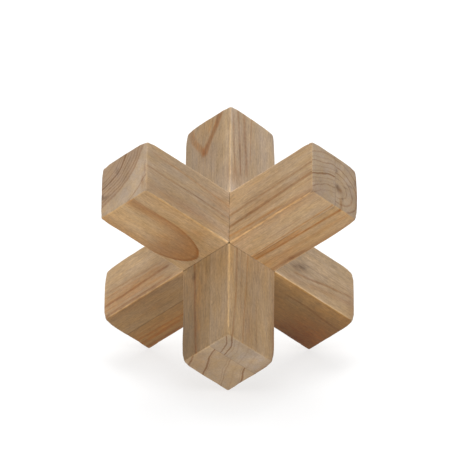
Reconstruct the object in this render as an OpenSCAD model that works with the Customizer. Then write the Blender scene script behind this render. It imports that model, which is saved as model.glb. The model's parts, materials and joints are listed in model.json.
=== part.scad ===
// Three square bars that pass through one another and lock: a three-bar burr puzzle.
// The bars cross at right angles, and the closed puzzle stands on the corners of three arms.

/* [Bars] */
// Side of each bar's square section
bar_w = 35; // [25:0.5:50]
// Length of each bar
bar_l = 158; // [120:1:220]
// Radius of the sanded edges
edge_r = 1.2; // [0.5:0.1:3]

/* [Joint in the middle] */
// Thickness of the lift bar's neck and of the base bar's neck, as a share of the bar's side
neck_share = 0.25; // [0.2:0.01:0.25]
// Thickness of the base bar's long board, as a share of the bar's side
base_board_share = 0.5; // [0.4:0.01:0.6]
// Thickness of the key bar's board, as a share of the bar's side
key_board_share = 0.4; // [0.3:0.01:0.5]
// Gap between one bar's face and the next bar's
fit_gap = 0.15; // [0.05:0.05:0.5]

/* [Smoothness] */
// Segments of a full circle
$fn = 48; // [24:8:96]

/* [Hidden] */

// The puzzle's own axes: the base bar lies along X, the lift bar along Y, the key bar along Z.
half_w = bar_w / 2;
neck_t = bar_w * neck_share;
half_gap = fit_gap / 2;
notch = half_w + fit_gap;

// The lift bar's neck is outermost, on the side that the key bar leaves by; the base bar's lies on it.
neck_split_z = -half_w + neck_t;
base_neck_top_z = neck_split_z + neck_t;
// Glue planes of the two glued-up bars
base_seam_y = half_w - bar_w * base_board_share;
key_seam_x = half_w - bar_w * key_board_share;

// A cut reaches this far outside the bars.
beyond = bar_w;

// Standing on three corners, the puzzle has its body diagonal upright.
corner_tilt = 180 - acos(1 / sqrt(3));
quarter_turn = 45;
// How far three crossed edge roundings pull a corner in along the diagonal
corner_loss = edge_r * (sqrt(3) - 3 / sqrt(6));
centre_z = (bar_l / 2 + bar_w) / sqrt(3) - corner_loss;

// Rectangle with rounded corners, centred on the origin
module rounded_rectangle(w, h) {
    square([w - 2 * edge_r, h], center = true);
    square([w, h - 2 * edge_r], center = true);
    for (x = [-1, 1], y = [-1, 1])
        translate([x * (w / 2 - edge_r), y * (h / 2 - edge_r)])
            circle(r = edge_r);
}

// Block with all its edges rounded, centred on the origin
module rounded_block(size) {
    intersection() {
        linear_extrude(size.z, center = true)
            rounded_rectangle(size.x, size.y);
        rotate([90, 0, 0])
            linear_extrude(size.y, center = true)
                rounded_rectangle(size.x, size.z);
        rotate([90, 0, 90])
            linear_extrude(size.x, center = true)
                rounded_rectangle(size.y, size.z);
    }
}

// Box between two corners
module box(low, high) {
    translate(low)
        cube(high - low);
}

// Turns the puzzle's own axes into the standing position
module standing() {
    translate([0, 0, centre_z])
        rotate([corner_tilt, 0, 0])
            rotate([0, 0, quarter_turn])
                children();
}

// Lift bar: one solid stick, cut down to a flat neck in one corner of its section
module lift_bar() {
    color("burlywood")
        standing()
            difference() {
                rounded_block([bar_w, bar_l, bar_w]);
                box([key_seam_x - half_gap, -notch, -beyond], [beyond, notch, beyond]);
                box([-beyond, -notch, neck_split_z - half_gap], [beyond, notch, beyond]);
            }
}

// Base bar's long board: a flat neck in the middle of its outer half
module base_bar_long_board() {
    color("tan")
        standing()
            difference() {
                rounded_block([bar_l, bar_w, bar_w]);
                box([-bar_l, -beyond, -beyond], [bar_l, base_seam_y, beyond]);
                box([-notch, -beyond, -beyond], [notch, base_seam_y + half_gap, beyond]);
                box([-notch, -beyond, -beyond], [notch, beyond, neck_split_z + half_gap]);
                box([-notch, -beyond, base_neck_top_z], [notch, beyond, beyond]);
            }
}

// One of the two blocks glued to the base bar's long board; side is 1 at the front end, -1 at the rear
module base_bar_block(side) {
    color("navajowhite")
        standing()
            intersection() {
                rounded_block([bar_l, bar_w, bar_w]);
                translate([side * (notch + bar_l / 2), base_seam_y - beyond, 0])
                    cube([bar_l, 2 * beyond, 2 * beyond], center = true);
            }
}

module base_bar_front_block() {
    base_bar_block(1);
}

module base_bar_rear_block() {
    base_bar_block(-1);
}

// Key bar's stick: a square rear arm, a neck that is half as wide as the bar, and a board along the front arm
module key_bar_stick() {
    color("peru")
        standing()
            difference() {
                rounded_block([bar_w, bar_w, bar_l]);
                box([-beyond, -beyond, -notch], [key_seam_x + half_gap, beyond, notch]);
                box([-beyond, base_seam_y - half_gap, -notch], [beyond, beyond, notch]);
                box([-beyond, -beyond, 0], [key_seam_x, beyond, bar_l]);
            }
}

// Block glued to the key bar's board, filling its front arm up to the square
module key_bar_front_block() {
    color("wheat")
        standing()
            intersection() {
                rounded_block([bar_w, bar_w, bar_l]);
                box([-beyond, -beyond, notch], [key_seam_x, beyond, bar_l]);
            }
}

lift_bar();
base_bar_long_board();
base_bar_front_block();
base_bar_rear_block();
key_bar_stick();
key_bar_front_block();
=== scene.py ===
"""Looks for the three-bar wooden burr puzzle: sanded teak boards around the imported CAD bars."""
import json
import math
from collections import namedtuple

import bmesh
import bpy
from mathutils import Matrix, Quaternion, Vector, noise


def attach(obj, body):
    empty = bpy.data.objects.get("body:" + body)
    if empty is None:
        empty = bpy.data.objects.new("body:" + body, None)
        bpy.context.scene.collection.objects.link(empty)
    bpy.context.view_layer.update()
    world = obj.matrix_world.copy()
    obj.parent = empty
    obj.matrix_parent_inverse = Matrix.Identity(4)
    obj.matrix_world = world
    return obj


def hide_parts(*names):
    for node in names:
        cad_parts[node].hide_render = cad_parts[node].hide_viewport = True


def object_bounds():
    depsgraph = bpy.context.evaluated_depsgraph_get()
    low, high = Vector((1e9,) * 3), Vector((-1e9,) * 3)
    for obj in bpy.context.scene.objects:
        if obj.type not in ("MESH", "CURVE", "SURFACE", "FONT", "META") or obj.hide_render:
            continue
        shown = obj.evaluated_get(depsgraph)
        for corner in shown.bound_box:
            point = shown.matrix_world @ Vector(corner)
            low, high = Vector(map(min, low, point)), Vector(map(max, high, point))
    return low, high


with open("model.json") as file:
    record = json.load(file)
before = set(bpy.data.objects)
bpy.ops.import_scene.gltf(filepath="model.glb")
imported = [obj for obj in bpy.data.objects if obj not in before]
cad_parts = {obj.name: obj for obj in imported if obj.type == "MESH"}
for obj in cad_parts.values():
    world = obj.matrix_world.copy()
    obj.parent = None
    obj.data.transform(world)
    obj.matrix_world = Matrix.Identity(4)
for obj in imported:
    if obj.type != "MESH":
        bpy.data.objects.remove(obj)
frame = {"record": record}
cad_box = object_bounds()

MM = 0.001

# ---------------------------------------------------------------- the puzzle's own axes

BAR_WIDTH = 35 * MM
FIT_GAP = 0.15 * MM
CREASE_GAP = 0.05 * MM
HALF = BAR_WIDTH / 2
NOTCH = HALF + CREASE_GAP
mounts = {m["name"]: Vector(m["pos_m"]) for m in frame["record"]["mounts"]}
BAR_LENGTH = (mounts["lift_bar_front_end"] - mounts["lift_bar_rear_end"]).length
REACH = BAR_LENGTH / 2
CENTRE = (cad_box[0] + cad_box[1]) / 2

# Unit vectors along the front arms of the base bar (X), the lift bar (Y) and the key bar (Z)
BASE_AXIS = Vector((1 / math.sqrt(2), -1 / math.sqrt(6), 1 / math.sqrt(3)))
LIFT_AXIS = Vector((-1 / math.sqrt(2), -1 / math.sqrt(6), 1 / math.sqrt(3)))
KEY_AXIS = Vector((0, -2 / math.sqrt(6), -1 / math.sqrt(3)))
PUZZLE_AXES = (BASE_AXIS, LIFT_AXIS, KEY_AXIS)
PUZZLE = Matrix.Translation(CENTRE) @ Matrix(PUZZLE_AXES).transposed().to_4x4()

# Planes that part the bars in the middle, and the glue planes
NECK_SPLIT = -HALF / 2
BASE_NECK_TOP = -0.12 * MM
BASE_SEAM = 0.0
KEY_SEAM = HALF / 5
HALF_GAP = FIT_GAP / 2

# ---------------------------------------------------------------- camera, floor and light

CAMERA_AZIMUTH = math.radians(-0.30)
CAMERA_ELEVATION = math.radians(15.68)
CAMERA_ROLL = math.radians(0.30)
CAMERA_DISTANCE = 2.835
CAMERA_ANGLE = math.radians(4.955)
AIM_UP = 9.26 * MM
AIM_RIGHT = -0.20 * MM

TENT_LIGHT = 0.72
FLOOR_GLOW = 0.66
FLOOR_PAINT = 0.31
# name, place in metres, side in metres, power in watts
SOFTBOXES = (
    ("softbox_front", (0, -1.5, 1.4), 1.2, 12.0),
    ("softbox_left", (-2.0, 0.2, 0.7), 1.2, 8.0),
    ("softbox_back", (0, 0.9, 1.5), 0.8, 8.0),
    ("softbox_back_low", (0, 1.4, 1.2), 0.8, 16.0),
)


def make_camera():
    data = bpy.data.cameras.new("camera")
    data.angle = CAMERA_ANGLE
    camera = bpy.data.objects.new("camera", data)
    back = Vector((
        -math.sin(CAMERA_AZIMUTH) * math.cos(CAMERA_ELEVATION),
        -math.cos(CAMERA_AZIMUTH) * math.cos(CAMERA_ELEVATION),
        math.sin(CAMERA_ELEVATION),
    ))
    turn = back.to_track_quat("Z", "Y")
    aim = CENTRE + turn @ Vector((AIM_RIGHT, AIM_UP, 0))
    camera.location = aim + back * CAMERA_DISTANCE
    camera.rotation_euler = (turn @ Quaternion((0, 0, 1), CAMERA_ROLL)).to_euler()
    bpy.context.scene.collection.objects.link(camera)
    bpy.context.scene.camera = camera


def make_floor():
    mesh = bpy.data.meshes.new("floor")
    bm = bmesh.new()
    bmesh.ops.create_circle(bm, cap_ends=True, radius=6, segments=96)
    bm.to_mesh(mesh)
    bm.free()
    floor = bpy.data.objects.new("floor", mesh)
    bpy.context.scene.collection.objects.link(floor)
    paint = bpy.data.materials.new("floor_paper")
    paint.use_nodes = True
    shader = paint.node_tree.nodes["Principled BSDF"]
    shader.inputs["Base Color"].default_value = (FLOOR_PAINT, FLOOR_PAINT, FLOOR_PAINT, 1)
    shader.inputs["Roughness"].default_value = 0.9
    shader.inputs["Specular IOR Level"].default_value = 0.0
    shader.inputs["Emission Color"].default_value = (1, 1, 1, 1)
    shader.inputs["Emission Strength"].default_value = FLOOR_GLOW
    mesh.materials.append(paint)


def make_light():
    world = bpy.data.worlds.new("studio")
    world.use_nodes = True
    sky = world.node_tree.nodes["Background"]
    sky.inputs["Color"].default_value = (1, 1, 1, 1)
    sky.inputs["Strength"].default_value = TENT_LIGHT
    bpy.context.scene.world = world
    for name, place, size, power in SOFTBOXES:
        data = bpy.data.lights.new(name, "AREA")
        data.shape = "SQUARE"
        data.size = size
        data.energy = power
        lamp = bpy.data.objects.new(name, data)
        lamp.location = place
        lamp.rotation_euler = (lamp.location - CENTRE).to_track_quat("Z", "Y").to_euler()
        bpy.context.scene.collection.objects.link(lamp)
    bpy.context.scene.view_settings.view_transform = "Standard"


# ---------------------------------------------------------------- board meshes

GRID_STEP = 2.4 * MM
EDGE_RADIUS = 1.45 * MM
LEAST_RADIUS = 1.2 * MM
WIDEST_RADIUS = 3.2 * MM
STANDING_RADIUS = 1.25 * MM
STANDING_ZONE = 3.2 * MM
EDGE_RINGS = 8
WAVE_DEPTH = 0.07 * MM
CRISP_BEVEL = 0.07 * MM
SMOOTH_ANGLE = math.radians(40)
BEVEL_ANGLE = math.radians(60)
# How far, in mm, the edge radius keeps its size, and by what share it wanders
WANDER_SIZE, WANDER_SHARE = 19, 0.4
FINE_SIZE, FINE_SHARE = 4.5, 0.2
WAVE_SIZE = 24
# Corners are rounder than edges by this share, this near to all three planes
CORNER_ZONE = 4 * MM
CORNER_SHARE = 1.5
# Smaller than any step of the mesh, in metres
TINY = 1e-9
ON_SKIN = 1e-6


def stations(low, high, marks):
    """Cross planes of the mesh between low and high: dense at the outer edges, and one at each mark."""
    fixed = {low, high}
    fixed.update(m for m in marks if low < m < high)
    for i in range(1, EDGE_RINGS + 1):
        inset = WIDEST_RADIUS * i / EDGE_RINGS
        fixed.update((low + inset, high - inset))
    fixed = sorted(fixed)
    places = []
    for a, b in zip(fixed, fixed[1:]):
        count = max(1, round((b - a) / GRID_STEP))
        places.extend(a + (b - a) * i / count for i in range(count))
    return places + [high]


def lattice(planes, filled):
    """Closed quad mesh round the cells of a three-way lattice for which filled(cell centre) holds."""
    bm = bmesh.new()
    verts = {}
    sizes = [len(p) - 1 for p in planes]
    middles = [[(a + b) / 2 for a, b in zip(p, p[1:])] for p in planes]
    full = {
        (i, j, k)
        for i in range(sizes[0])
        for j in range(sizes[1])
        for k in range(sizes[2])
        if filled(middles[0][i], middles[1][j], middles[2][k])
    }

    def vert(key):
        if key not in verts:
            verts[key] = bm.verts.new([planes[n][key[n]] for n in range(3)])
        return verts[key]

    for cell in full:
        for axis in range(3):
            for side in (0, 1):
                other = list(cell)
                other[axis] += 1 if side else -1
                if tuple(other) in full:
                    continue
                u, v = (axis + 1) % 3, (axis + 2) % 3
                loop = []
                for du, dv in ((0, 0), (1, 0), (1, 1), (0, 1)):
                    key = list(cell)
                    key[axis] += side
                    key[u] += du
                    key[v] += dv
                    loop.append(vert(tuple(key)))
                bm.faces.new(loop if side else loop[::-1])
    return bm


def sanded_radius(p, half, seed, chips):
    """Edge radius near p. A chip is (place, reach, depth) in mm: a spot where the edge is rounder."""
    spot = p / MM
    wander = noise.noise(spot / WANDER_SIZE + Vector((seed, 0, 0)))
    fine = noise.noise(spot / FINE_SIZE + Vector((0, seed, 0)))
    radius = max(EDGE_RADIUS * (1 + WANDER_SHARE * wander + FINE_SHARE * fine), LEAST_RADIUS)
    for place, reach, depth in chips:
        radius += depth * MM * math.exp(-(((spot - Vector(place)).length / reach) ** 2))
    near_corner = sum(h - abs(c) < CORNER_ZONE for h, c in zip(half, p)) == 3
    if near_corner:
        radius *= CORNER_SHARE
    return min(radius, WIDEST_RADIUS)


def round_edges(bm, half, seed, chips):
    """Rounds the bar's outer edges by a radius that wanders a little, as hand sanding leaves them."""
    for v in bm.verts:
        p = v.co
        standing = (PUZZLE @ p).z < STANDING_ZONE
        radius = STANDING_RADIUS if standing else sanded_radius(p, half, seed, chips)
        core = Vector([max(-h + radius, min(h - radius, c)) for h, c in zip(half, p)])
        out = p - core
        if out.length < TINY:
            continue
        wave = noise.noise(p / MM / WAVE_SIZE + Vector((0, 0, seed)))
        hollow = 0.0 if standing else WAVE_DEPTH * (0.5 + 0.5 * wave)
        skin = max(abs(c) - h for h, c in zip(half, p)) > -ON_SKIN
        if skin:
            v.co = core + out.normalized() * (radius - hollow)


def make_board(name, body, node, half, cuts, filled, seed, timber, chips=()):
    """One board of a bar: a detailed mesh in the puzzle's own axes, which takes the place of a CAD node."""
    planes = [stations(-h, h, marks) for h, marks in zip(half, cuts)]
    bm = lattice(planes, filled)
    round_edges(bm, half, seed, chips)
    bm.transform(PUZZLE)
    mesh = bpy.data.meshes.new(name)
    bm.to_mesh(mesh)
    bm.free()
    board = bpy.data.objects.new(name, mesh)
    bpy.context.scene.collection.objects.link(board)
    for polygon in mesh.polygons:
        polygon.use_smooth = True
    mesh.set_sharp_from_angle(angle=SMOOTH_ANGLE)
    crisp = board.modifiers.new("crisp_edges", "BEVEL")
    crisp.width = CRISP_BEVEL
    crisp.segments = 2
    crisp.limit_method = "ANGLE"
    crisp.angle_limit = BEVEL_ANGLE
    crisp.use_clamp_overlap = True
    mesh.materials.append(wood(name + "_wood", half, timber))
    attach(board, body)
    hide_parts(node)
    return board


# ---------------------------------------------------------------- wood

# All places here are in mm on the puzzle's own axes. A face is (axis, side).
# grain: axis along the grain. pith: where the tree's pith passes, on the other two axes.
# rings: (radius, strength, width).
# The face colours: (face, arm, steps lighter, steps warmer) than plain teak; the steps hold painted light
# and shade as well as the wood's colour. The arm is 1 in front and -1 behind.
# veins: (face, points, width, strength, hue). A point is (place along the grain, place across it).
# The patches: (centre, reach, strength, hue), real stains together with painted light and shade, lighter or
# darker where light falls. seams: (axis, level in metres, strength) of the glue lines.
# eye: the knot-shaped figure. heart: (radius, strength, hue) of the heartwood on the sawn ends.
Timber = namedtuple(
    "Timber", "grain pith rings tones veins stains seed seams eye heart", defaults=((), None, None))
Eye = namedtuple("Eye", "face middle reach outline heart")

X_UP, X_DOWN, Y_UP, Y_DOWN, Z_UP, Z_DOWN = ((axis, side) for axis in range(3) for side in (1, -1))

# Plain teak, and what one step lighter or one step warmer does to it. The steps were judged from the
# front, so they hold some of the light and shade there as well as the wood's own colour.
TEAK = (0.33, 0.225, 0.13)
LIGHT_STEP = 1.1
WARM_STEP = (1.03, 0.98, 0.88)
HUES = {
    "brown": (0.70, 0.55, 0.42),
    "orange": (0.90, 0.69, 0.47),
    "ink": (0.52, 0.46, 0.42),
    "grey": (0.80, 0.84, 0.90),
    "pale": (1.24, 1.26, 1.28),
    "gold": (1.14, 1.00, 0.74),
    "cool": (0.97, 1.06, 1.20),
    "rust": (0.90, 0.64, 0.46),
    "bright": (1.45, 1.50, 1.55),
}
LATEWOOD = (0.62, 0.48, 0.37)
# Edges lighter partly from sanding wear and partly as a painted highlight
EDGE_WEAR_AND_HIGHLIGHT = (1.50, 1.46, 1.30)
ROOT_LIFT = (1.34, 1.42, 1.55)
ROOT_FADE = 11.0
RING_WAVER = 1.5
RING_JITTER = 0.25
SEEN_SHARE = 0.93
HEART_BLUR = 2.5
FACE_BLEND = (0.55, 0.8)
END_BLEND = (0.55, 0.85)
# The Mix node's sockets for two colours and their mixture
MIX_A, MIX_B, MIX_RESULT = 6, 7, 2
HALF_MM = HALF / MM
WHITE = (1.0, 1.0, 1.0)


class Tree:
    """Short names for the nodes of one material."""

    def __init__(self, material):
        self.nodes = material.node_tree.nodes
        self.links = material.node_tree.links

    def feed(self, socket, value):
        if isinstance(value, bpy.types.NodeSocket):
            self.links.new(value, socket)
        else:
            socket.default_value = value

    def math(self, operation, *values):
        node = self.nodes.new("ShaderNodeMath")
        node.operation = operation
        for socket, value in zip(node.inputs, values):
            self.feed(socket, value)
        return node.outputs[0]

    def product(self, *values):
        total = values[0]
        for value in values[1:]:
            total = self.math("MULTIPLY", total, value)
        return total

    def vector(self, operation, *values, output=0):
        node = self.nodes.new("ShaderNodeVectorMath")
        node.operation = operation
        for socket, value in zip(node.inputs, values):
            self.feed(socket, value)
        return node.outputs[output]

    def noise(self, place, detail=2.0, roughness=0.5):
        node = self.nodes.new("ShaderNodeTexNoise")
        self.feed(node.inputs["Vector"], place)
        node.inputs["Scale"].default_value = 1.0
        node.inputs["Detail"].default_value = detail
        node.inputs["Roughness"].default_value = roughness
        return node.outputs["Fac"]

    def span(self, value, low, high, to_low, to_high, kind="LINEAR"):
        node = self.nodes.new("ShaderNodeMapRange")
        node.interpolation_type = kind
        self.feed(node.inputs["Value"], value)
        node.inputs["From Min"].default_value = low
        node.inputs["From Max"].default_value = high
        node.inputs["To Min"].default_value = to_low
        node.inputs["To Max"].default_value = to_high
        return node.outputs["Result"]

    def step(self, value, low, high):
        """0 on the low side, 1 on the high side, smooth between; low may be the greater number."""
        if low > high:
            return self.span(value, high, low, 1.0, 0.0, "SMOOTHSTEP")
        return self.span(value, low, high, 0.0, 1.0, "SMOOTHSTEP")

    def mix(self, factor, a, b, blend="MIX"):
        node = self.nodes.new("ShaderNodeMix")
        node.data_type = "RGBA"
        node.blend_type = blend
        self.feed(node.inputs["Factor"], factor)
        for socket, value in zip((node.inputs[MIX_A], node.inputs[MIX_B]), (a, b)):
            self.feed(socket, (*value, 1) if isinstance(value, tuple) else value)
        return node.outputs[MIX_RESULT]

    def dye(self, colour, strength, hue):
        """Multiplies the colour by the hue where strength is 1."""
        return self.mix(1.0, colour, self.mix(strength, WHITE, hue), blend="MULTIPLY")

    def blob(self, place, centre, reach):
        """1 at the centre, falling off smoothly over the reach on each axis."""
        offset = self.vector("DIVIDE", self.vector("SUBTRACT", place, centre), reach)
        square = self.vector("DOT_PRODUCT", offset, offset, output=1)
        return self.math("EXPONENT", self.math("MULTIPLY", square, -1.0))

    def curve(self, value, points):
        """A smooth curve through points of (0..1, 0..1)."""
        node = self.nodes.new("ShaderNodeFloatCurve")
        self.feed(node.inputs["Value"], value)
        line = node.mapping.curves[0]
        line.points[0].location = points[0]
        line.points[1].location = points[-1]
        for point in points[1:-1]:
            line.points.new(*point)
        node.mapping.update()
        return node.outputs[0]

    def ring_lines(self, radius, rings, width_share):
        """Latewood lines: each darkens slowly up to its ring and ends sharply outside it."""
        total = 0.0
        for place, strength, width in rings:
            width *= width_share
            fall = self.step(radius, place + width / 2 + 0.3, place + width / 2)
            line = self.product(self.step(radius, place - width, place), fall, strength)
            total = self.math("MAXIMUM", total, line)
        return total


# Teak stepped lighter or warmer; the steps carry painted light and shade as well as the wood's colour
def teak_light_and_shade(light, warm):
    return tuple(part * LIGHT_STEP ** light * tint ** warm for part, tint in zip(TEAK, WARM_STEP))


def wood(name, half, timber):
    """Sanded teak: growth rings, fibre, pores, veins, stain patches, end grain, edges lightened by wear,
    and glue lines, with painted light and shade in the face colours, the patches, the edges and the corners
    by the crossing.
    """
    material = bpy.data.materials.new(name)
    material.use_nodes = True
    tree = Tree(material)
    shader = tree.nodes["Principled BSDF"]

    coords = tree.nodes.new("ShaderNodeTexCoord")
    from_centre = tree.vector("SUBTRACT", coords.outputs["Object"], tuple(CENTRE))
    axes = [tree.vector("DOT_PRODUCT", from_centre, tuple(axis / MM), output=1) for axis in PUZZLE_AXES]
    facing = coords.outputs["Normal"]
    normal = [tree.vector("DOT_PRODUCT", facing, tuple(axis), output=1) for axis in PUZZLE_AXES]
    joined = tree.nodes.new("ShaderNodeCombineXYZ")
    for socket, axis in zip(joined.inputs, axes):
        tree.feed(socket, axis)
    place = joined.outputs[0]

    g = timber.grain
    across = [i for i in range(3) if i != g]
    along = axes[g]

    def grained(cross, lengthwise, shift=0.0):
        """The place with the grain direction drawn out, moved so that no two boards share a pattern."""
        scale = [1 / cross] * 3
        scale[g] = 1 / lengthwise
        scaled = tree.vector("MULTIPLY", place, tuple(scale))
        return tree.vector("ADD", scaled, (timber.seed * 7.3 + shift, timber.seed * 3.1, timber.seed * 5.7))

    masks = {}

    def on_face(face):
        if face not in masks:
            axis, side = face
            masks[face] = tree.step(tree.math("MULTIPLY", normal[axis], float(side)), *FACE_BLEND)
        return masks[face]

    waver = tree.noise(grained(9, 30), detail=1.0)
    fibre = tree.noise(grained(0.5, 6.5), detail=3.0, roughness=0.65)
    streak = tree.noise(grained(1.3, 22, 5.0), detail=2.0)
    mottle = tree.noise(grained(2.2, 5.5, 3.0), detail=2.0)
    grit = tree.noise(grained(0.9, 1.8, 11.0), detail=2.0)
    patch = tree.noise(grained(8, 26, 8.0), detail=2.0)
    drift = tree.noise(grained(6, 20, 21.0), detail=2.0)
    pores = tree.step(tree.noise(grained(0.38, 3.4, 3.0), detail=1.0), 0.62, 0.74)
    end_fibre = tree.noise(grained(0.9, 400, 2.0), detail=3.0, roughness=0.65)
    is_end = tree.step(tree.math("ABSOLUTE", normal[g]), *END_BLEND)
    is_side = tree.math("SUBTRACT", 1.0, is_end)

    # Wood colour face by face, with painted light and shade in the steps: darker undersides behind, lighter
    # undersides in front
    colour = TEAK
    for face, arm, light, warm in timber.tones:
        mask = on_face(face)
        if arm:
            mask = tree.product(mask, tree.step(along, -5.0 * arm, 5.0 * arm))
        colour = tree.mix(mask, colour, teak_light_and_shade(light, warm))

    # Growth rings round the pith, bent by the log's irregular growth
    offsets = [tree.math("SUBTRACT", axes[axis], float(timber.pith[n])) for n, axis in enumerate(across)]
    squares = [tree.math("MULTIPLY", offset, offset) for offset in offsets]
    radius = tree.math("SQRT", tree.math("ADD", *squares))
    radius = tree.math("ADD", radius, tree.span(waver, 0, 1, -RING_WAVER, RING_WAVER))
    radius = tree.math("ADD", radius, tree.span(streak, 0, 1, -RING_JITTER, RING_JITTER))
    end_rings = tree.product(tree.ring_lines(radius, timber.rings, 0.8), is_end, 1.25)
    if timber.heart:
        heart_radius, strength, hue = timber.heart
        inside = tree.step(radius, heart_radius, heart_radius - HEART_BLUR)
        colour = tree.dye(colour, tree.product(inside, is_end, strength), HUES[hue])
    # On faces whose figure is drawn as veins, the rings nearly vanish
    seen = 0.0
    for face in {vein[0] for vein in timber.veins}:
        seen = tree.math("MAXIMUM", seen, on_face(face))
    hidden = tree.math("SUBTRACT", is_side, tree.math("MULTIPLY", seen, SEEN_SHARE))
    face_rings = tree.product(tree.ring_lines(radius, timber.rings, 1.6), hidden)
    broken = tree.span(mottle, 0.3, 0.7, 0.65, 1.15)
    rings = tree.product(tree.math("MAXIMUM", end_rings, face_rings), broken)
    colour = tree.dye(colour, rings, LATEWOOD)

    # Veins drawn on the faces
    sway = tree.span(waver, 0, 1, -0.5, 0.5)
    for face, points, width, strength, hue in timber.veins:
        low = points[0][0]
        high = points[-1][0]
        other = next(i for i in across if i != face[0])
        way = tree.span(along, low, high, 0, 1)
        shape = [((p - low) / (high - low), v / (2 * HALF_MM) + 0.5) for p, v in points]
        middle = tree.math("MULTIPLY_ADD", tree.curve(way, shape), 2 * HALF_MM, -HALF_MM)
        middle = tree.math("ADD", middle, sway)
        off = tree.math("ABSOLUTE", tree.math("SUBTRACT", axes[other], middle))
        off = tree.math("ADD", off, tree.span(fibre, 0.2, 0.8, -0.22, 0.22))
        soft = 0.3 + 0.2 * width
        line = tree.step(off, width * 0.5 + soft, max(width * 0.5 - soft, 0.0))
        ends = tree.product(tree.step(along, low, low + 4), tree.step(along, high, high - 4))
        mask = tree.product(line, ends, on_face(face), broken)
        colour = tree.dye(colour, tree.math("MULTIPLY", mask, strength), HUES[hue])

    if timber.eye:
        colour = paint_eye(tree, colour, timber.eye, axes, g, on_face(timber.eye.face), fibre, broken)

    # Patches: real stains, and painted light and painted shade where light falls across the faces
    uneven = tree.span(mottle, 0.25, 0.75, 0.6, 1.3)
    for centre, reach, strength, hue in timber.stains:
        mask = tree.math("MULTIPLY", tree.blob(place, centre, reach), uneven)
        colour = tree.dye(colour, tree.math("MULTIPLY", mask, strength), HUES[hue])

    # Fibre, mottling and pores
    side_shade = tree.product(
        tree.span(fibre, 0.25, 0.75, 0.78, 1.22),
        tree.span(streak, 0.25, 0.75, 0.95, 1.05),
        tree.span(mottle, 0.25, 0.75, 0.94, 1.06),
        tree.span(grit, 0.25, 0.75, 0.89, 1.11),
        tree.span(patch, 0.25, 0.75, 0.94, 1.06),
        tree.span(pores, 0, 1, 1.0, 0.8),
    )
    end_shade = tree.product(
        tree.span(end_fibre, 0.25, 0.75, 0.85, 1.15),
        tree.span(patch, 0.25, 0.75, 0.88, 1.12),
    )
    side_part = tree.math("MULTIPLY", side_shade, is_side)
    end_part = tree.math("MULTIPLY", end_shade, is_end)
    shade = tree.math("ADD", side_part, end_part)
    tone = tree.nodes.new("ShaderNodeCombineXYZ")
    bleach = tree.product(tree.span(drift, 0.3, 0.7, 0.89, 1.11), tree.span(streak, 0.3, 0.7, 0.95, 1.05))
    tree.feed(tone.inputs[0], tree.math("MULTIPLY", shade, tree.span(bleach, 0.8, 1.2, 1.03, 0.97)))
    tree.feed(tone.inputs[1], tree.math("MULTIPLY", shade, tree.span(bleach, 0.8, 1.2, 0.97, 1.03)))
    tree.feed(tone.inputs[2], tree.math("MULTIPLY", shade, bleach))
    colour = tree.mix(1.0, colour, tone.outputs[0], blend="MULTIPLY")

    # Edges lighter partly from wear and partly as a painted highlight: the second smallest distance to the
    # bar's outer planes is the distance to its nearest edge
    gaps = [tree.math("SUBTRACT", half[i] / MM, tree.math("ABSOLUTE", axes[i])) for i in range(3)]
    lesser = tree.math("MINIMUM", gaps[0], gaps[1])
    greater = tree.math("MAXIMUM", gaps[0], gaps[1])
    edge = tree.math("MAXIMUM", lesser, tree.math("MINIMUM", greater, gaps[2]))
    edge = tree.math("ADD", edge, tree.span(mottle, 0.25, 0.75, -0.35, 0.35))
    lengthwise = tree.step(gaps[g], 1.5, 3.0)
    worn_and_highlit = tree.product(
        tree.step(edge, 1.1, 0.4),
        tree.span(drift, 0.3, 0.7, 0.55, 1.15),
        tree.span(lengthwise, 0, 1, 0.35, 1.0),
    )
    colour = tree.dye(colour, worn_and_highlit, EDGE_WEAR_AND_HIGHLIGHT)

    # A lighter tint towards the crossing makes up for the deep shade in its corners
    root = tree.math("MAXIMUM", tree.math("SUBTRACT", tree.math("ABSOLUTE", along), NOTCH / MM), 0.0)
    fade = tree.math("EXPONENT", tree.math("DIVIDE", root, -ROOT_FADE))
    colour = tree.dye(colour, tree.product(fade, is_side), ROOT_LIFT)

    # Glue lines
    for axis, level, strength in timber.seams:
        from_seam = tree.math("ABSOLUTE", tree.math("SUBTRACT", axes[axis], level / MM))
        glue = tree.math("MULTIPLY", tree.step(from_seam, 0.4, 0.1), strength)
        colour = tree.dye(colour, glue, HUES["ink"])

    tree.feed(shader.inputs["Base Color"], colour)
    tree.feed(shader.inputs["Roughness"], tree.span(fibre, 0.2, 0.8, 0.55, 0.72))
    shader.inputs["Specular IOR Level"].default_value = 0.3
    height = tree.math("ADD", tree.math("MULTIPLY", fibre, 0.5), tree.math("MULTIPLY", pores, -0.8))
    relief = tree.nodes.new("ShaderNodeBump")
    relief.inputs["Strength"].default_value = 0.3
    relief.inputs["Distance"].default_value = 0.1 * MM
    tree.feed(relief.inputs["Height"], height)
    tree.feed(shader.inputs["Normal"], relief.outputs[0])
    return material


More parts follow.
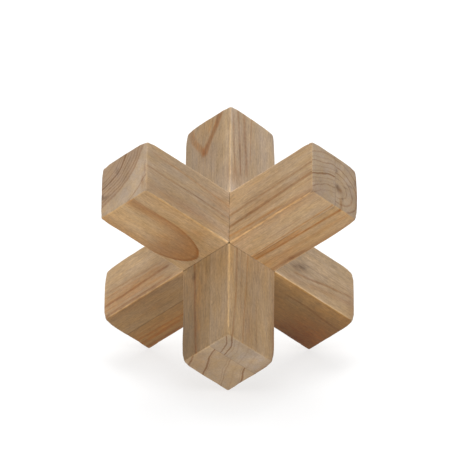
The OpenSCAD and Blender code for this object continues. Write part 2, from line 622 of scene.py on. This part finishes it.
def paint_eye(tree, colour, eye, axes, g, mask, fibre, broken):
    """A long oval of nested growth lines with one rounded tip, as a knot leaves on a flat-sawn face."""
    other = next(i for i in range(3) if i not in (g, eye.face[0]))
    ahead = tree.math("MAXIMUM", tree.math("SUBTRACT", float(eye.middle[0]), axes[g]), 0.0)
    ahead = tree.math("DIVIDE", ahead, float(eye.reach[0]))
    aside = tree.math("SUBTRACT", axes[other], float(eye.middle[1]))
    aside = tree.math("DIVIDE", aside, float(eye.reach[1]))
    ring = tree.math("SQRT", tree.math("ADD", tree.product(ahead, ahead), tree.product(aside, aside)))
    ring = tree.math("ADD", ring, tree.span(fibre, 0.2, 0.8, -0.02, 0.02))
    inside = tree.step(ring, 1.03, 0.99)
    tip = tree.step(ahead, 0.1, 0.85)
    outline = tree.product(tree.step(ring, 0.9, 0.985), inside)
    outline = tree.product(outline, tree.span(tip, 0, 1, 0.45, 1.0), eye.outline)
    colour = tree.dye(colour, tree.product(outline, mask, broken), HUES["brown"])
    body = tree.product(tree.step(ring, 0.3, 0.9), inside, tree.span(tip, 0, 1, 0.4, 1.0), mask)
    colour = tree.dye(colour, tree.math("MULTIPLY", body, 0.9), HUES["orange"])
    core = tree.product(tree.step(ring, 0.3, 0.6), tree.step(ring, 1.0, 0.8), tip, mask)
    colour = tree.dye(colour, tree.math("MULTIPLY", core, 0.35), HUES["brown"])
    heart = tree.product(tree.step(ring, 0.75, 0.2), tree.math("SUBTRACT", 1.0, tip), mask, eye.heart)
    return tree.dye(colour, heart, HUES["pale"])


# ---------------------------------------------------------------- the boards

LIFT_TIMBER = Timber(
    grain=1, pith=(-19, -25), seed=1,
    rings=[
        (15.5, 0.3, 0.8), (19.0, 0.45, 0.9), (20.8, 0.3, 0.6), (22.7, 1.0, 1.3), (25.0, 0.35, 0.7),
        (27.2, 0.5, 0.9), (29.6, 0.4, 0.8), (32.0, 0.5, 1.2), (34.4, 0.4, 1.6), (47.5, 0.5, 1.0),
    ],
    # Z_UP behind is seven steps darker, painted shade under the rear arm; Z_UP in front is a step lighter,
    # painted light
    tones=[(X_UP, 1, 1, 0), (X_UP, -1, 2, 0), (Y_UP, 1, 1, -1), (Z_UP, 1, 1, 2), (Z_UP, -1, -7, 6)],
    veins=[
        (X_UP, [(14, 1.3), (30, 0.8), (40, 0.2), (48, 0.0), (60, 0.2), (83, 0.4)], 1.4, 0.6, "brown"),
        (X_UP, [(36, 0.2), (54, 0.0)], 0.5, 0.35, "ink"),
        (X_UP, [(18, 4.6), (46, 3.4), (80, 3.0)], 1.6, 0.25, "brown"),
        (X_UP, [(40, -2.8), (80, -3.0)], 0.8, 0.25, "brown"),
        (X_UP, [(14, -7.0), (35, -8.4), (50, -9.8), (76, -10.6)], 1.2, 0.55, "orange"),
        (X_UP, [(14, -3.0), (44, -4.4)], 1.6, 0.25, "orange"),
        (X_UP, [(-78, 1.0), (-65, 3.2), (-55, 5.0), (-45, 7.3), (-30, 9.4)], 1.5, 0.8, "brown"),
        (X_UP, [(-78, 6.6), (-60, 8.8), (-42, 12.0)], 3.6, 0.4, "brown"),
        (X_UP, [(-72, -1.0), (-50, -0.8), (-36, -0.3)], 0.8, 0.4, "ink"),
        (Z_UP, [(-83, 6.3), (-60, 7.6), (-50, 8.5), (-33, 7.5)], 1.1, 0.7, "brown"),
        (Z_UP, [(36, 6.0), (60, 5.2), (83, 4.0)], 4.0, 0.45, "orange"),
        (Z_UP, [(42, 7.0), (60, 6.6), (83, 5.8)], 1.4, 0.35, "brown"),
    ],
    stains=[
        ((17.5, -38, 2.6), (5, 3.6, 2.0), 1.0, "ink"), ((17.5, -33, 5.2), (5, 4, 2.2), 0.8, "ink"),
        ((17.5, -41, 1), (5, 9, 3), 0.5, "grey"), ((17.5, -28, 9), (5, 6, 3), 0.45, "grey"),
        ((17.5, -33, 14), (5, 10, 3), 0.4, "brown"), ((17.5, -49, -6), (5, 10, 8), 1.0, "pale"),
        ((17.5, -66, -12), (5, 10, 6), 0.5, "cool"), ((17.5, -77, 8), (5, 5, 10), 0.45, "brown"),
        ((17.5, 66, 12), (5, 18, 6), 0.3, "grey"), ((17.5, 56, 13), (5, 34, 4), 0.5, "orange"),
        ((17.5, 44, 11), (5, 11, 3.5), 0.35, "brown"), ((17.5, 50, -3), (5, 36, 6), 0.35, "cool"),
        ((17.5, 24, -6), (5, 12, 6), 0.3, "orange"), ((10, 34, 17.5), (4, 6, 4), 0.4, "orange"),
        ((13, 45, 17.5), (4.5, 42, 4), 0.7, "pale"), ((-6, 41, 17.5), (9, 9, 5), 0.7, "brown"),
        ((-11, 66, 17.5), (6, 14, 4), 0.5, "pale"), ((-1, 66, 17.5), (5, 13, 4), 0.35, "cool"),
        ((-9, -70, 17.5), (13, 20, 5), 1.0, "rust"), ((-15, -60, 17.5), (7, 16, 5), 0.6, "brown"),
        # The two bright strips on this row are painted light along one side of the rear arm's Z_UP face
        ((15, -48, 17.5), (6, 46, 1.2), 0.9, "bright"), ((17, -30, 17.5), (3, 14, 1.2), 0.5, "bright"),
        ((-16, -62, 17.5), (5, 22, 2), 0.5, "ink"),
        ((6, -46, 17.5), (6, 9, 4), 0.8, "cool"), ((-2, -74, 17.5), (4, 6, 4), 0.3, "pale"),
        ((12, 79, 6), (6, 4, 9), 0.7, "pale"), ((2, 79, 14), (8, 4, 4), 0.2, "pale"),
        ((12, 79, 15), (6, 4, 4), 0.35, "grey"),
        ((-13.6, 79, 5.0), (2.2, 2, 0.8), 1.0, "ink"), ((-16.0, 79, 3.2), (1.3, 2, 1.4), 1.0, "ink"),
        ((-13, 79, 13), (5, 4, 5), 0.5, "gold"), ((-5, 79, -8), (1.6, 2, 3), 0.5, "ink"),
        ((16.2, 79, 2), (0.9, 2, 4), 0.7, "brown"), ((14.6, 79, 9), (0.9, 2, 4), 0.6, "brown"),
    ],
    eye=Eye(Z_UP, (52, -5), (31.7, 12.6), 1.0, 0.6),
    heart=(36.4, 0.42, "brown"),
)
BASE_BOARD_TIMBER = Timber(
    grain=0, pith=(-8, 41), seed=2,
    rings=[
        (33.5, 0.3, 0.7), (37.3, 0.55, 0.8), (39.4, 0.3, 0.5), (41.6, 0.35, 0.6), (44.2, 1.0, 1.0),
        (45.8, 0.4, 0.5), (48.4, 0.35, 0.6), (51.7, 0.6, 0.7), (54.0, 0.3, 0.5), (57.0, 0.4, 1.0),
    ],
    # Z_UP in front is three steps lighter, painted light; Z_UP behind is three steps darker, painted shade
    tones=[(X_UP, 1, 1, -1), (Y_UP, 1, 1, 1), (Y_UP, -1, 1, 1), (Z_UP, 1, 3, 1), (Z_UP, -1, -3, 3)],
    veins=[
        (Y_UP, [(14, -0.6), (30, -1.2), (45, -1.6), (60, -2.2), (83, -3.1)], 1.7, 0.75, "brown"),
        (Y_UP, [(26, -3.4), (50, -3.9), (83, -5.4)], 1.2, 0.45, "brown"),
        (Y_UP, [(14, 7.2), (30, 6.4), (45, 5.8), (60, 5.1), (83, 4.3)], 2.1, 0.95, "brown"),
        (Y_UP, [(50, 2.6), (83, 2.0)], 2.6, 0.45, "brown"),
        (Y_UP, [(14, 10.4), (40, 9.4), (83, 8.4)], 1.0, 0.3, "brown"),
        (Y_UP, [(14, 13.2), (35, 13.8), (58, 14.4)], 1.6, 0.8, "orange"),
        (Y_UP, [(56, -15.0), (83, -15.4)], 0.8, 0.5, "brown"),
        (Y_UP, [(22, -9.0), (60, -10.2)], 0.7, 0.25, "brown"),
        (Y_UP, [(-83, 8.6), (-60, 8.0), (-45, 7.3), (-26, 6.7)], 1.6, 1.0, "brown"),
        (Y_UP, [(-83, -0.6), (-60, 0.5), (-34, 1.4)], 1.4, 0.55, "brown"),
        (Y_UP, [(-83, 3.0), (-33, 3.8)], 1.4, 0.5, "orange"),
        (Y_UP, [(-83, 12.2), (-30, 11.6)], 1.6, 0.5, "orange"),
        (Y_UP, [(-83, 15.6), (-24, 15.3)], 1.4, 0.85, "brown"),
        (Y_UP, [(-76, -9.6), (-46, -10.2)], 1.0, 0.35, "grey"),
        (Z_UP, [(14, 0.3), (30, 0.8), (40, 1.1), (60, 1.4), (83, 1.7)], 0.9, 0.85, "orange"),
        (Z_UP, [(33, 5.4), (62, 5.6)], 0.6, 0.45, "brown"),
    ],
    stains=[
        ((50, 17.5, 11.5), (24, 5, 2.4), 0.4, "pale"), ((26, 17.5, 2.8), (10, 5, 2.0), 0.6, "pale"),
        ((24, 17.5, -8), (10, 5, 6), 0.5, "pale"), ((68, 17.5, -3), (14, 5, 10), 0.7, "cool"),
        ((68, 17.5, 16.5), (15, 5, 3), 0.6, "brown"), ((42, 17.5, 5), (13, 5, 5), 0.4, "orange"),
        ((30, 17.5, 15), (14, 5, 3), 0.4, "gold"), ((-64, 17.5, -10), (22, 5, 7), 0.7, "pale"),
        ((-52, 17.5, -9), (10, 5, 7), 0.6, "pale"), ((-28, 17.5, 9), (5, 5, 5), 0.55, "grey"),
        ((-60, 17.5, 8), (26, 5, 5), 0.75, "orange"), ((-36, 17.5, 6), (9, 5, 6), 0.3, "brown"),
        ((-50, 17.5, 17), (40, 5, 3), 0.6, "brown"), ((45, 17.5, 17), (22, 5, 3), 0.5, "brown"),
        ((-79, 17.5, -2), (3, 5, 14), 0.6, "pale"), ((-57, 1, 17.5), (8, 3, 4), 0.3, "cool"),
        ((30, 17.5, -14), (16, 5, 4), 0.35, "gold"), ((62, 9, 17.5), (11, 4, 4), 0.55, "cool"),
        ((52, 15, 17.5), (20, 4, 2), 0.55, "pale"), ((23, 17, 17.5), (6, 4, 2), 0.4, "brown"),
        ((-50, 7, 17.5), (12, 4, 2), 0.35, "brown"), ((79, 13, 12), (4, 5, 6), 0.35, "brown"),
        ((79, 10, -12), (4, 8, 5), 0.4, "pale"),
    ],
    seams=[(1, BASE_SEAM, 0.4)],
)
BASE_FRONT_TIMBER = Timber(
    grain=0, pith=(-2.0, 4.4), seed=3,
    rings=[(6.5, 0.4, 0.8), (10.2, 0.5, 1.0), (14.0, 0.6, 1.0), (18.5, 0.45, 1.0), (22.5, 0.5, 1.2)],
    tones=[(X_UP, 1, 1, -1), (Z_UP, 1, 2, 2)],
    veins=[
        (Z_UP, [(14, -2.4), (30, -3.0), (45, -3.2), (60, -3.6), (83, -4.5)], 1.5, 1.0, "orange"),
        (Z_UP, [(14, -2.4), (30, -3.0), (45, -3.2), (60, -3.6), (83, -4.5)], 0.6, 0.7, "brown"),
        (Z_UP, [(14, -1.0), (30, -1.2), (54, -1.4)], 2.6, 0.75, "orange"),
        (Z_UP, [(14, -0.2), (44, -0.2)], 0.8, 0.6, "brown"),
        (Z_UP, [(14, -14.6), (28, -14.8), (44, -15.4)], 1.8, 0.6, "brown"),
        (Z_UP, [(14, -8.0), (36, -9.0), (83, -9.6)], 2.2, 0.35, "orange"),
    ],
    stains=[
        ((79, -1.6, 3.6), (4, 1.6, 2.2), 1.0, "ink"), ((79, -3.4, 4.6), (4, 2.4, 2.0), 1.0, "brown"),
        ((79, -5.6, 9.6), (3, 0.9, 2.4), 0.6, "ink"), ((79, -4.4, 14.0), (3, 0.9, 3.4), 1.0, "brown"),
        ((79, -4.4, -7.8), (4, 0.9, 3), 0.7, "pale"), ((79, -5.6, -13.0), (4, 0.9, 3), 0.6, "pale"),
        ((79, -11.5, 9), (4, 3, 6), 0.5, "gold"),
        ((79, -1.2, -7.2), (4, 0.8, 1.4), 0.8, "ink"), ((79, -7.4, 0.6), (4, 2.2, 0.8), 0.6, "ink"),
        ((79, -11.0, -2.4), (4, 2.6, 0.9), 0.7, "ink"), ((79, -15.0, -6.4), (4, 1.6, 2.2), 0.6, "ink"),
        ((79, -12, 8), (4, 4, 6), 0.2, "grey"), ((79, -17, 0), (4, 2, 16), 0.7, "brown"),
        ((28, -12, 17.5), (14, 5, 4), 0.45, "orange"), ((32, -14.5, 17.5), (3, 1.4, 3), 0.7, "brown"),
        ((50, -17, 17.5), (40, 3, 4), 0.7, "brown"), ((40, -5, 17.5), (12, 3, 4), 0.3, "pale"),
    ],
    seams=[(1, BASE_SEAM, 0.4)],
)
BASE_REAR_TIMBER = Timber(
    grain=0, pith=(-32, 34), seed=4,
    rings=[(20, 0.6, 1.4), (24, 0.5, 1.2), (29, 0.5, 1.5), (35, 0.5, 1.3), (42, 0.4, 1.5)],
    # Z_UP is four steps darker: painted shade under the rear arm
    tones=[(Z_UP, -1, -4, 5)],
    veins=[
        (Z_UP, [(-83, -11.4), (-65, -11.2), (-46, -11.0)], 2.0, 1.0, "orange"),
        (Z_UP, [(-83, -7.4), (-60, -8.0), (-40, -8.6)], 1.4, 0.8, "orange"),
        (Z_UP, [(-83, -15.0), (-50, -15.2)], 1.4, 0.7, "brown"),
        (Z_UP, [(-83, -4.6), (-38, -5.0)], 1.2, 0.4, "orange"),
    ],
    stains=[
        ((-68, -6, 17.5), (16, 5, 4), 0.25, "gold"), ((-62, -17, 17.5), (22, 2.4, 4), 0.8, "rust"),
        ((-60, -9.4, 17.5), (16, 2.4, 4), 0.8, "gold"), ((-48, -6, 17.5), (6, 4, 4), 0.5, "pale"),
    ],
    seams=[(1, BASE_SEAM, 0.9)],
)
KEY_STICK_TIMBER = Timber(
    grain=2, pith=(-5, 37.5), seed=5,
    rings=[
        (20.5, 0.4, 0.8), (29.4, 0.8, 0.7), (32.2, 1.0, 0.8), (34.0, 0.3, 0.5), (36.5, 0.25, 0.6),
        (42.0, 0.2, 1.0), (48.0, 0.2, 1.2),
    ],
    tones=[(X_UP, 1, 0, 1), (X_UP, -1, 2, -1), (Y_UP, 1, -2, 1), (Y_UP, -1, -1, 0), (Z_UP, 1, 1, -1)],
    veins=[
        (
            Y_UP, [(-84, -14.4), (-76, -12.6), (-69, -10.6), (-62, -6.4), (-56, -2.6), (-52, -1.6)],
            4.0, 0.9, "orange",
        ),
        (
            Y_UP, [(-84, 12.0), (-76, 9.0), (-70, 6.6), (-64, 2.8), (-58, -0.6), (-52, -2.0)],
            4.4, 1.0, "orange",
        ),
        (Y_UP, [(-83, 10.8), (-74, 8.2), (-67, 4.8), (-60, 0.6), (-55, -1.6)], 3.4, 0.55, "brown"),
        (Y_UP, [(-80, 5.6), (-72, 2.4), (-66, -1.0)], 1.0, 0.5, "orange"),
        (X_UP, [(-83, 7.0), (-65, 6.5), (-50, 5.2), (-34, 4.6)], 2.0, 0.7, "brown"),
        (X_UP, [(-83, 12.0), (-60, 10.5), (-50, 9.8), (-32, 9.3)], 1.2, 0.8, "brown"),
        (X_UP, [(-56, 10.2), (-40, 9.6)], 0.7, 0.3, "ink"),
        (X_UP, [(-76, 15.2), (-50, 14.2), (-30, 12.6)], 1.2, 0.6, "brown"),
        (X_UP, [(-83, 1.2), (-62, 1.7), (-46, 2.1)], 0.6, 0.7, "orange"),
        (X_UP, [(-68, 2.7), (-48, 3.0)], 0.4, 0.9, "pale"),
        (X_UP, [(14, 3.2), (40, 4.5), (60, 5.8), (83, 6.6)], 1.0, 0.5, "orange"),
        (X_UP, [(14, 8.0), (60, 8.6)], 0.8, 0.3, "brown"),
        (X_UP, [(14, 11.4), (40, 11.6), (60, 12.6), (83, 14.8)], 1.3, 0.7, "brown"),
        (X_UP, [(46, -3.3), (83, -3.2)], 0.7, 0.4, "brown"),
        (X_UP, [(54, -16.4), (83, -16.2)], 1.2, 0.7, "brown"),
    ],
    stains=[
        ((-2, 17.5, -72), (8, 5, 10), 0.8, "gold"), ((-2, 17.5, -59), (2.5, 5, 3), 0.6, "orange"),
        # The bright strip on this row is a painted highlight along the edge of the rear arm
        ((-12, 17.5, -58), (5, 5, 12), 0.45, "grey"), ((15, 17.5, -48), (4, 5, 32), 0.7, "bright"),
        ((0, 17.5, -53), (6, 5, 5), 0.3, "brown"), ((12, 17.5, -40), (8, 5, 16), 0.2, "grey"),
        ((17.5, -9, 60), (5, 3.5, 24), 0.65, "pale"), ((17.5, 16, 28), (5, 2.5, 12), 0.6, "gold"),
        ((17.5, 14, 48), (5, 4, 40), 0.45, "pale"), ((17.5, 3, 66), (5, 4, 14), 0.35, "brown"),
        ((17.5, -17, 52), (5, 2.6, 40), 0.6, "brown"), ((17.5, 8, -55), (5, 8, 20), 0.25, "brown"),
        ((17.5, 14, -32), (5, 6, 8), 0.5, "brown"), ((17.5, -10, -65), (5, 7, 20), 0.3, "pale"),
        ((17.5, 0, -79), (5, 18, 3), 0.6, "pale"), ((9, 17.5, 22), (6, 5, 12), 0.4, "gold"),
        ((11, -8, 79), (4, 3, 4), 0.5, "pale"), ((10, -17, 79), (8, 2.2, 4), 0.7, "brown"),
        ((10, 1, 79), (5, 5, 4), 0.4, "cool"),
    ],
    seams=[(0, KEY_SEAM, 0.3)],
)
KEY_BLOCK_TIMBER = Timber(
    grain=2, pith=(35, -68), seed=6,
    rings=[
        (66.3, 1.1, 1.0), (67.6, 0.3, 0.4), (71.5, 0.2, 0.5), (76.2, 0.45, 0.6), (77.6, 0.3, 0.4),
        (85.6, 0.3, 0.5), (86.8, 1.0, 1.0), (95.9, 0.8, 0.9),
    ],
    # Y_UP is five steps darker: painted shade on the side under the arms of the other two bars
    tones=[(Y_UP, 1, -5, 2), (Z_UP, 1, 1, 0)],
    veins=[
        (Y_UP, [(14, -8.6), (30, -7.8), (45, -7.6), (60, -7.2), (83, -6.2)], 1.5, 1.0, "orange"),
        (Y_UP, [(14, -8.8), (30, -8.0), (45, -7.8), (60, -7.4), (83, -6.4)], 0.5, 0.5, "brown"),
        (Y_UP, [(14, -5.8), (40, -5.2), (66, -4.6)], 2.6, 0.8, "gold"),
        (Y_UP, [(20, -16.2), (60, -16.0)], 0.9, 0.5, "ink"),
        (Y_UP, [(14, 1.0), (50, 0.4), (83, 0.8)], 0.8, 0.3, "brown"),
    ],
    stains=[
        ((-8.8, 17.5, 26), (1.6, 4, 2.4), 0.8, "ink"), ((-4, 17.5, 36), (5, 5, 14), 0.5, "gold"),
        ((-15, 17.5, 64), (5, 5, 20), 0.7, "grey"), ((-16, 17.5, 66), (4, 5, 16), 0.4, "brown"),
        ((-14, 17.5, 32), (5, 5, 12), 0.7, "gold"), ((-6, 17.5, 68), (3, 5, 20), 0.4, "brown"),
        # The bright line on this row is a painted highlight along the edge of the front arm
        ((-8, 17.5, 19), (10, 5, 7), 0.6, "pale"), ((-17.5, 17.5, 34), (1.0, 1.0, 22), 0.9, "bright"),
        ((2, 17.5, 50), (5, 5, 44), 0.9, "pale"), ((-1, -9, 79), (6, 6, 4), 0.6, "pale"),
        ((-13, 10, 79), (6, 8, 4), 0.3, "brown"),
    ],
    seams=[(0, KEY_SEAM, 0.3)],
)

X_BAR = (REACH, HALF, HALF)
Y_BAR = (HALF, REACH, HALF)
Z_BAR = (HALF, HALF, REACH)


def in_arm(along):
    return abs(along) > NOTCH


def lift_filled(x, y, z):
    return in_arm(y) or (x < KEY_SEAM - HALF_GAP and z < NECK_SPLIT - HALF_GAP)


def base_board_filled(x, y, z):
    if in_arm(x):
        return y > BASE_SEAM
    return y > BASE_SEAM + HALF_GAP and NECK_SPLIT + HALF_GAP < z < BASE_NECK_TOP


def base_front_filled(x, y, z):
    return x > NOTCH and y < BASE_SEAM


def base_rear_filled(x, y, z):
    return x < -NOTCH and y < BASE_SEAM


def key_stick_filled(x, y, z):
    if z < -NOTCH:
        return True
    if z > NOTCH:
        return x > KEY_SEAM
    return x > KEY_SEAM + HALF_GAP and y < BASE_SEAM - HALF_GAP


def key_block_filled(x, y, z):
    return z > NOTCH and x < KEY_SEAM


make_camera()
make_floor()
make_light()

make_board(
    "lift_bar_wood", "lift_bar", "lift_bar", Y_BAR,
    ([KEY_SEAM - HALF_GAP], [-NOTCH, NOTCH], [NECK_SPLIT - HALF_GAP]),
    lift_filled, 1.7, LIFT_TIMBER,
    chips=[((17.5, -79, -17.5), 6, 1.2), ((17.5, -79, 17.5), 5, 0.8)],
)
make_board(
    "base_bar_long_board_wood", "base_bar", "base_bar_long_board", X_BAR,
    ([-NOTCH, NOTCH], [BASE_SEAM, BASE_SEAM + HALF_GAP], [NECK_SPLIT + HALF_GAP, BASE_NECK_TOP]),
    base_board_filled, 4.2, BASE_BOARD_TIMBER,
    chips=[((-79, 17.5, -17.5), 7, 1.4), ((-79, 17.5, 17.5), 6, 1.2)],
)
make_board(
    "base_bar_front_block_wood", "base_bar", "base_bar_front_block", X_BAR,
    ([NOTCH], [BASE_SEAM], []),
    base_front_filled, 8.6, BASE_FRONT_TIMBER,
    chips=[((79, -17.5, 17.5), 8, 1.6), ((79, -17.5, -17.5), 7, 1.2)],
)
make_board(
    "base_bar_rear_block_wood", "base_bar", "base_bar_rear_block", X_BAR,
    ([-NOTCH], [BASE_SEAM], []),
    base_rear_filled, 2.9, BASE_REAR_TIMBER,
)
make_board(
    "key_bar_stick_wood", "key_bar", "key_bar_stick", Z_BAR,
    ([KEY_SEAM, KEY_SEAM + HALF_GAP], [BASE_SEAM - HALF_GAP], [-NOTCH, NOTCH]),
    key_stick_filled, 6.1, KEY_STICK_TIMBER,
    chips=[((17.5, -17.5, -79), 9, 1.6), ((-17.5, 17.5, -79), 7, 1.4), ((17.5, -17.5, 79), 6, 1.0)],
)
make_board(
    "key_bar_front_block_wood", "key_bar", "key_bar_front_block", Z_BAR,
    ([KEY_SEAM], [], [NOTCH]),
    key_block_filled, 3.3, KEY_BLOCK_TIMBER,
    chips=[((-17.5, 17.5, 79), 5, 0.8)],
)
